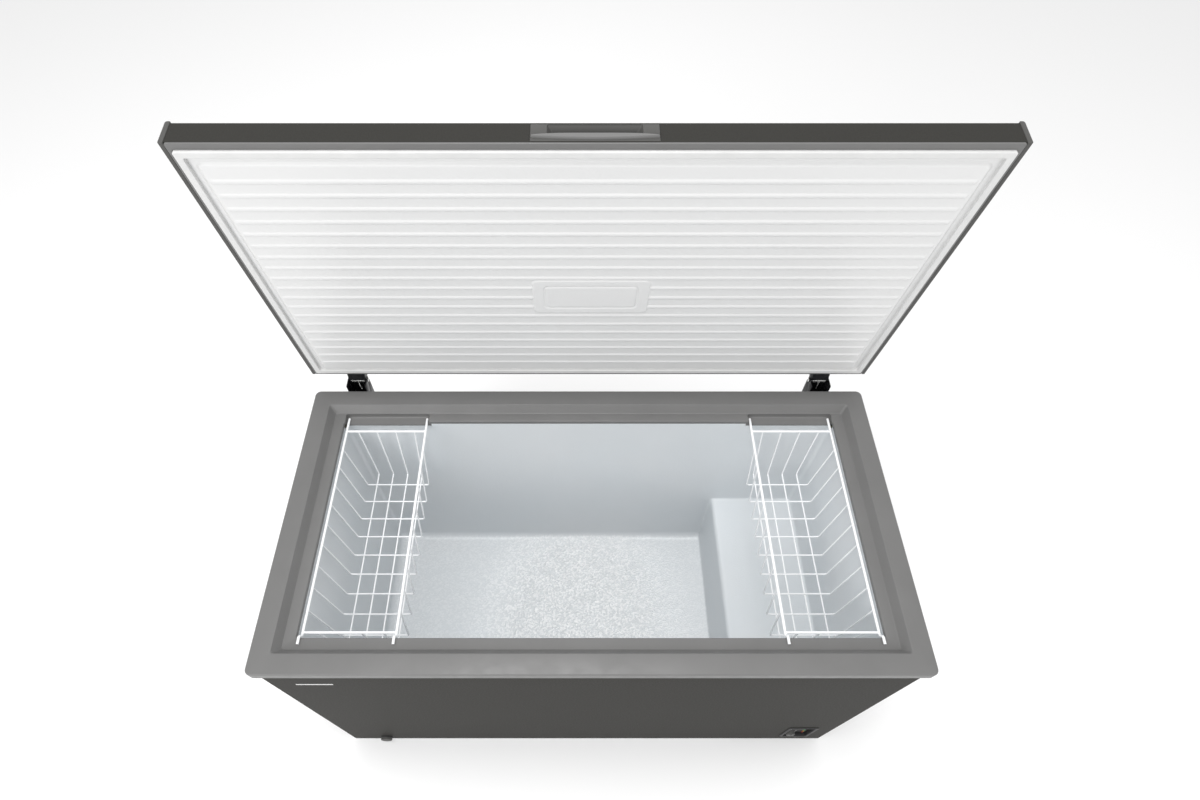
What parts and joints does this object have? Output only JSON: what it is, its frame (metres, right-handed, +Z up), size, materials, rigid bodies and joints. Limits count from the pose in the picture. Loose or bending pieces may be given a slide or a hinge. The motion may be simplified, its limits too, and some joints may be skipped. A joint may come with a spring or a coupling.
{
  "type": "chest freezer",
  "caption": "Wide chest freezer with a hinged lid held open, stepped metal tub inside and wire baskets hanging at its ends.",
  "frame": {"origin": "on the floor under the middle of the object's box with the lid open, 37 mm behind the cabinet's own middle", "axes": "+Z up, the front faces -Y, +X to the right as seen by a person in front of it"},
  "size_m": [1.408, 0.7896, 1.5478],
  "materials": {
    "dark_paint": "satin",
    "grey_plastic": "satin",
    "black_plastic": "satin",
    "white_plastic": "satin",
    "gasket": "matte",
    "liner_metal": "satin",
    "white_wire": "gloss",
    "black_metal": "gloss",
    "galvanised": "satin",
    "steel": "polished",
    "copper": "satin",
    "foam": "matte",
    "rubber": "matte",
    "green_lens": "gloss",
    "amber_lens": "gloss",
    "red_lens": "gloss"
  },
  "bodies": {
    "cabinet": {"outer_wrap": "dark_paint", "rear_panel": "dark_paint", "base_pan": "galvanised", "compressor_tray": "galvanised", "bay_liner": "galvanised", "cabinet_foam": "foam", "top_frame": "grey_plastic", "inner_liner": "liner_metal", "evaporator_tube": "copper", "condenser_tube": "copper", "drain_hose": "grey_plastic", "drain_outlet": "black_plastic", "control_bezel": "black_plastic", "thermostat": "galvanised", "lamp_power": "green_lens", "lamp_run": "amber_lens", "lamp_alarm": "red_lens", "compressor_foot_plate": "black_metal", "compressor": "black_metal", "start_relay": "black_plastic", "filter_drier": "copper", "discharge_pipe": "copper", "suction_pipe": "copper", "air_grille": "black_plastic", "rear_service_cover": "galvanised", "power_inlet_gland": "black_plastic", "foot_front_left": "black_plastic", "grommet_front_left": "rubber", "foot_front_right": "black_plastic", "grommet_front_right": "rubber", "foot_rear_left": "black_plastic", "grommet_rear_left": "rubber", "foot_rear_right": "black_plastic", "grommet_rear_right": "rubber", "hinge_body_left": "black_metal", "hinge_pin_left": "steel", "hinge_spring_left": "steel", "hinge_screw_left_inner": "steel", "hinge_screw_left_outer": "steel", "hinge_body_right": "black_metal", "hinge_pin_right": "steel", "hinge_spring_right": "steel", "hinge_screw_right_inner": "steel", "hinge_screw_right_outer": "steel"},
    "lid": {"lid_skin": "dark_paint", "lid_rail_left": "grey_plastic", "lid_rail_right": "grey_plastic", "lid_edge_frame": "grey_plastic", "lid_gasket": "gasket", "lid_inner_panel": "white_plastic", "lid_foam": "foam", "lid_handle": "grey_plastic", "hinge_arm_left": "black_metal", "hinge_arm_right": "black_metal"},
    "knob": {"thermostat_knob": "grey_plastic"},
    "drain_cap": {"drain_cap": "black_plastic"},
    "drain_plug": {"drain_plug": "grey_plastic"},
    "basket_left": {"basket_left": "white_wire"},
    "basket_right": {"basket_right": "white_wire"}
  },
  "joints": [
    {"name": "lid_hinge", "type": "hinge", "parent": "cabinet", "child": "lid", "pos_m": [0, 0.34825, 0.798], "axis": [-1, 0, 0], "range_deg": [-82.9, 2.1]},
    {"name": "thermostat_turn", "type": "hinge", "parent": "cabinet", "child": "knob", "pos_m": [0.583, -0.37575, 0.088], "axis": [0, -1, 0], "range_deg": [-135, 135]},
    {"name": "drain_cap_pull", "type": "slide", "parent": "cabinet", "child": "drain_cap", "axis": [0, -1, 0], "range_m": [0, 0.025]},
    {"name": "drain_plug_lift", "type": "slide", "parent": "cabinet", "child": "drain_plug", "axis": [0, 0, 1], "range_m": [0, 0.02]},
    {"name": "basket_left_lift", "type": "slide", "parent": "cabinet", "child": "basket_left", "axis": [0, 0, 1], "range_m": [0, 0.014]},
    {"name": "basket_right_lift", "type": "slide", "parent": "cabinet", "child": "basket_right", "axis": [0, 0, 1], "range_m": [0, 0.014]}
  ]
}
